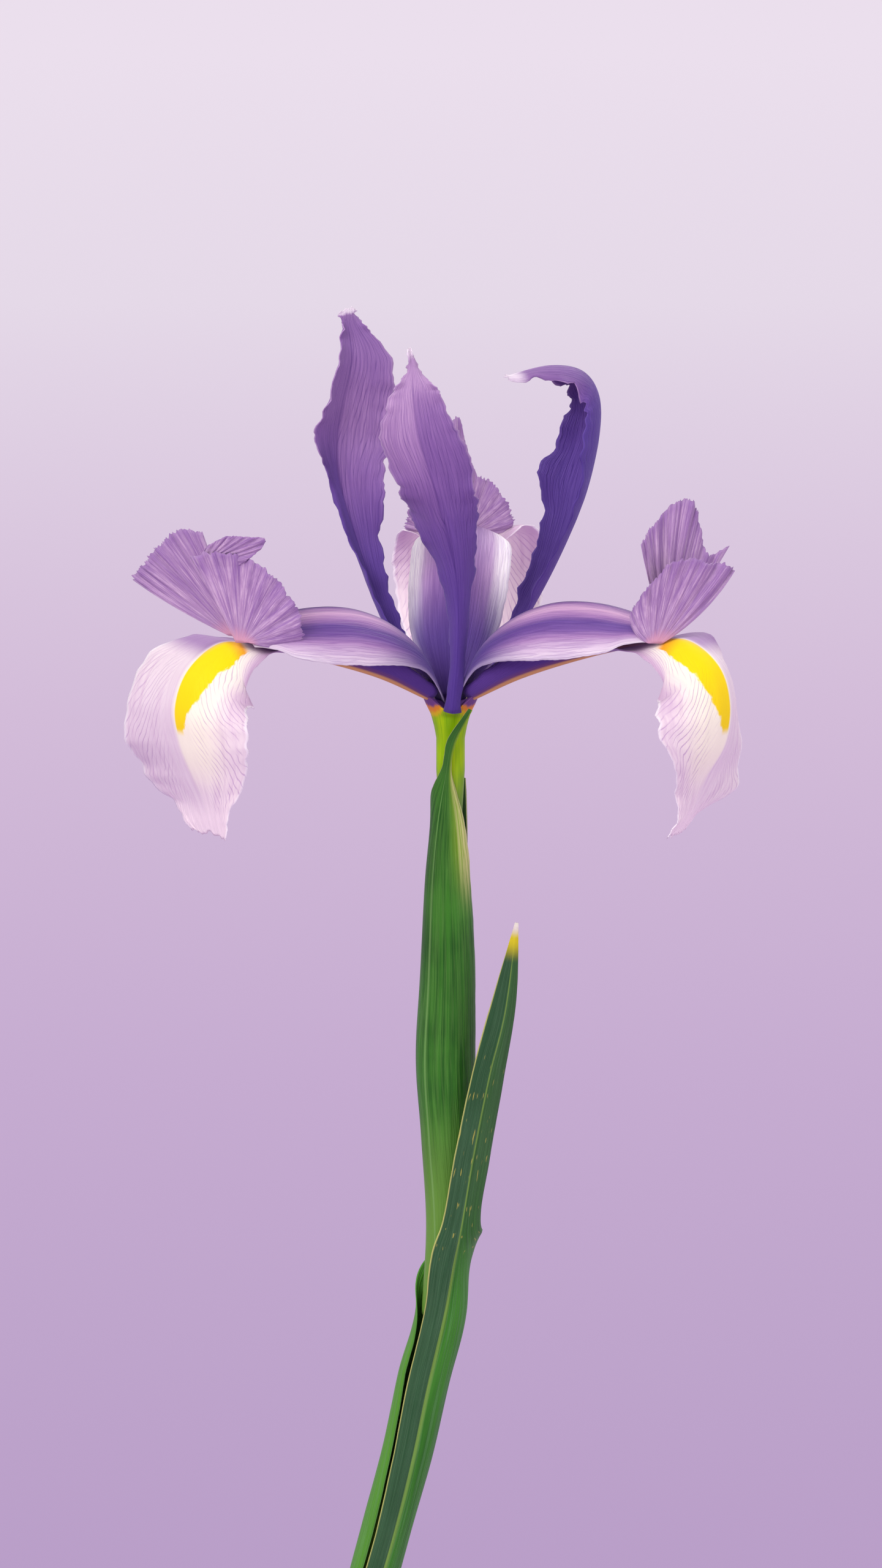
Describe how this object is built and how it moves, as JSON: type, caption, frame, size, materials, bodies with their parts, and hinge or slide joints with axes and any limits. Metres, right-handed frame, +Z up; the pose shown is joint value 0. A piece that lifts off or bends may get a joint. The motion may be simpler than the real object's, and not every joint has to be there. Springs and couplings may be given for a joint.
{
  "type": "iris in a vase",
  "caption": "Cut iris flower with hanging falls, upright standards, petal-like style arms, bract and leaf, standing in a plain round vase.",
  "frame": {"origin": "centre of the vase's foot, on the surface it stands on", "axes": "+Z up, the flower's open side with its front standard towards -Y, the stem leans towards +X"},
  "size_m": [0.1258, 0.0947, 0.3984],
  "materials": {
    "ceramic": "plain off-white satin glaze",
    "stem": "smooth living green stem",
    "tube": "smooth lime green, yellow at the throat",
    "spathe": "green bract with fine lengthwise veins and a pale papery margin",
    "leaf": "blue-green leaf with close parallel veins and a pale fold line",
    "fall": "pale pink-lavender petal with mauve veins and a yellow signal",
    "standard": "deep violet petal with fine veins, paler towards its tip",
    "style": "mauve with a dark ridge, darker bands and near-white margins",
    "stamen": "cream filament and pollen-covered anther"
  },
  "bodies": {
    "root": {"vase": "ceramic", "stem": "stem", "ovary_tube": "tube", "spathe_outer": "spathe", "spathe_inner": "spathe", "leaf_lower": "leaf", "fall_left": "fall", "fall_right": "fall", "fall_back": "fall", "standard_front": "standard", "standard_left": "standard", "standard_right": "standard", "style_arm_left": "style", "style_arm_right": "style", "style_arm_back": "style", "stamen_left": "stamen", "stamen_right": "stamen", "stamen_back": "stamen"}
  },
  "joints": []
}
